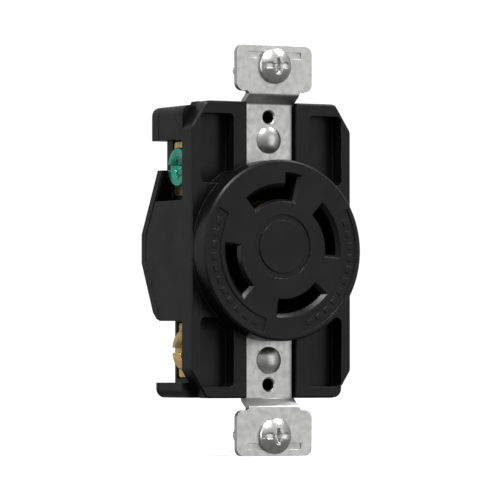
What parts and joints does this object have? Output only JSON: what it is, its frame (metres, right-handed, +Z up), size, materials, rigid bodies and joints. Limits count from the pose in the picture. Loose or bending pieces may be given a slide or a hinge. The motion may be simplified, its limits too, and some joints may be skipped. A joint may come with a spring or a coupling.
{
  "type": "locking power receptacle",
  "caption": "Flush round-faced locking power receptacle with curved blade slots, a steel mounting strap, side screw terminals and captive box screws.",
  "frame": {"origin": "midway between the two mounting screws, on the plane of the strap ears' back faces, which meet the wall box", "axes": "+Z up along the strap, +Y into the wall along the mounting screws, +X right as seen from the front"},
  "size_m": [0.0416, 0.0285, 0.0926],
  "materials": {
    "black_nylon": "satin moulded",
    "zinc_plated_steel": "satin bright zinc plate on rolled strip",
    "rivet_steel": "satin plated",
    "zinc_plated_screw": "bright zinc plate",
    "brass": "bright stamped",
    "green_dyed_brass": "satin green dye over metal",
    "spring_steel": "bright rolled",
    "vulcanised_fibre": "pressed fibre sheet"
  },
  "bodies": {
    "root": {"front_housing": "black_nylon", "contact_housing": "black_nylon", "rear_cover": "black_nylon", "mounting_strap": "zinc_plated_steel", "strap_rivet_upper": "rivet_steel", "strap_rivet_lower": "rivet_steel", "ground_contact": "brass", "ground_contact_spring": "spring_steel", "ground_terminal_nut": "brass", "line_x_contact": "brass", "line_x_contact_spring": "spring_steel", "line_x_terminal_nut": "brass", "line_y_contact": "brass", "line_y_contact_spring": "spring_steel", "line_y_terminal_nut": "brass", "line_z_contact": "brass", "line_z_contact_spring": "spring_steel", "line_z_terminal_nut": "brass"},
    "ground_plate": {"ground_pressure_plate": "brass"},
    "ground_screw": {"ground_terminal_screw": "green_dyed_brass"},
    "line_x_plate": {"line_x_pressure_plate": "brass"},
    "line_x_screw": {"line_x_terminal_screw": "brass"},
    "line_y_plate": {"line_y_pressure_plate": "brass"},
    "line_y_screw": {"line_y_terminal_screw": "brass"},
    "line_z_plate": {"line_z_pressure_plate": "brass"},
    "line_z_screw": {"line_z_terminal_screw": "brass"},
    "screw_retainer_upper": {"screw_retainer_upper": "vulcanised_fibre"},
    "mounting_screw_upper": {"mounting_screw_upper": "zinc_plated_screw"},
    "screw_retainer_lower": {"screw_retainer_lower": "vulcanised_fibre"},
    "mounting_screw_lower": {"mounting_screw_lower": "zinc_plated_screw"}
  },
  "joints": [
    {"name": "ground_clamp", "type": "slide", "parent": "root", "child": "ground_plate", "axis": [1, 0, 0], "range_m": [0, 0.00238]},
    {"name": "ground_screw_turn", "type": "hinge", "parent": "ground_plate", "child": "ground_screw", "pos_m": [-0.01705, 0.0095, 0.0188], "axis": [1, 0, 0], "range_deg": [0, 1080]},
    {"name": "line_x_clamp", "type": "slide", "parent": "root", "child": "line_x_plate", "axis": [-1, 0, 0], "range_m": [0, 0.00238]},
    {"name": "line_x_screw_turn", "type": "hinge", "parent": "line_x_plate", "child": "line_x_screw", "pos_m": [0.01705, 0.0095, 0.0188], "axis": [-1, 0, 0], "range_deg": [0, 1080]},
    {"name": "line_y_clamp", "type": "slide", "parent": "root", "child": "line_y_plate", "axis": [-1, 0, 0], "range_m": [0, 0.00238]},
    {"name": "line_y_screw_turn", "type": "hinge", "parent": "line_y_plate", "child": "line_y_screw", "pos_m": [0.0159, 0.0095, -0.0224], "axis": [-1, 0, 0], "range_deg": [0, 1080]},
    {"name": "line_z_clamp", "type": "slide", "parent": "root", "child": "line_z_plate", "axis": [1, 0, 0], "range_m": [0, 0.00238]},
    {"name": "line_z_screw_turn", "type": "hinge", "parent": "line_z_plate", "child": "line_z_screw", "pos_m": [-0.0159, 0.0095, -0.0224], "axis": [1, 0, 0], "range_deg": [0, 1080]},
    {"name": "upper_screw_shift", "type": "slide", "parent": "root", "child": "screw_retainer_upper", "axis": [1, 0, 0], "range_m": [-0.0012, 0.0012]},
    {"name": "upper_screw_turn", "type": "hinge", "parent": "screw_retainer_upper", "child": "mounting_screw_upper", "pos_m": [0, 0, 0.04167], "axis": [0, 1, 0], "continuous": true},
    {"name": "lower_screw_shift", "type": "slide", "parent": "root", "child": "screw_retainer_lower", "axis": [1, 0, 0], "range_m": [-0.0012, 0.0012]},
    {"name": "lower_screw_turn", "type": "hinge", "parent": "screw_retainer_lower", "child": "mounting_screw_lower", "pos_m": [0, 0, -0.04167], "axis": [0, 1, 0], "continuous": true}
  ],
  "couplings": [
    {"joint": "ground_screw_turn", "follows": "ground_clamp", "rad_per_m": 7913.3},
    {"joint": "line_x_screw_turn", "follows": "line_x_clamp", "rad_per_m": 7913.3},
    {"joint": "line_y_screw_turn", "follows": "line_y_clamp", "rad_per_m": 7913.3},
    {"joint": "line_z_screw_turn", "follows": "line_z_clamp", "rad_per_m": 7913.3}
  ]
}
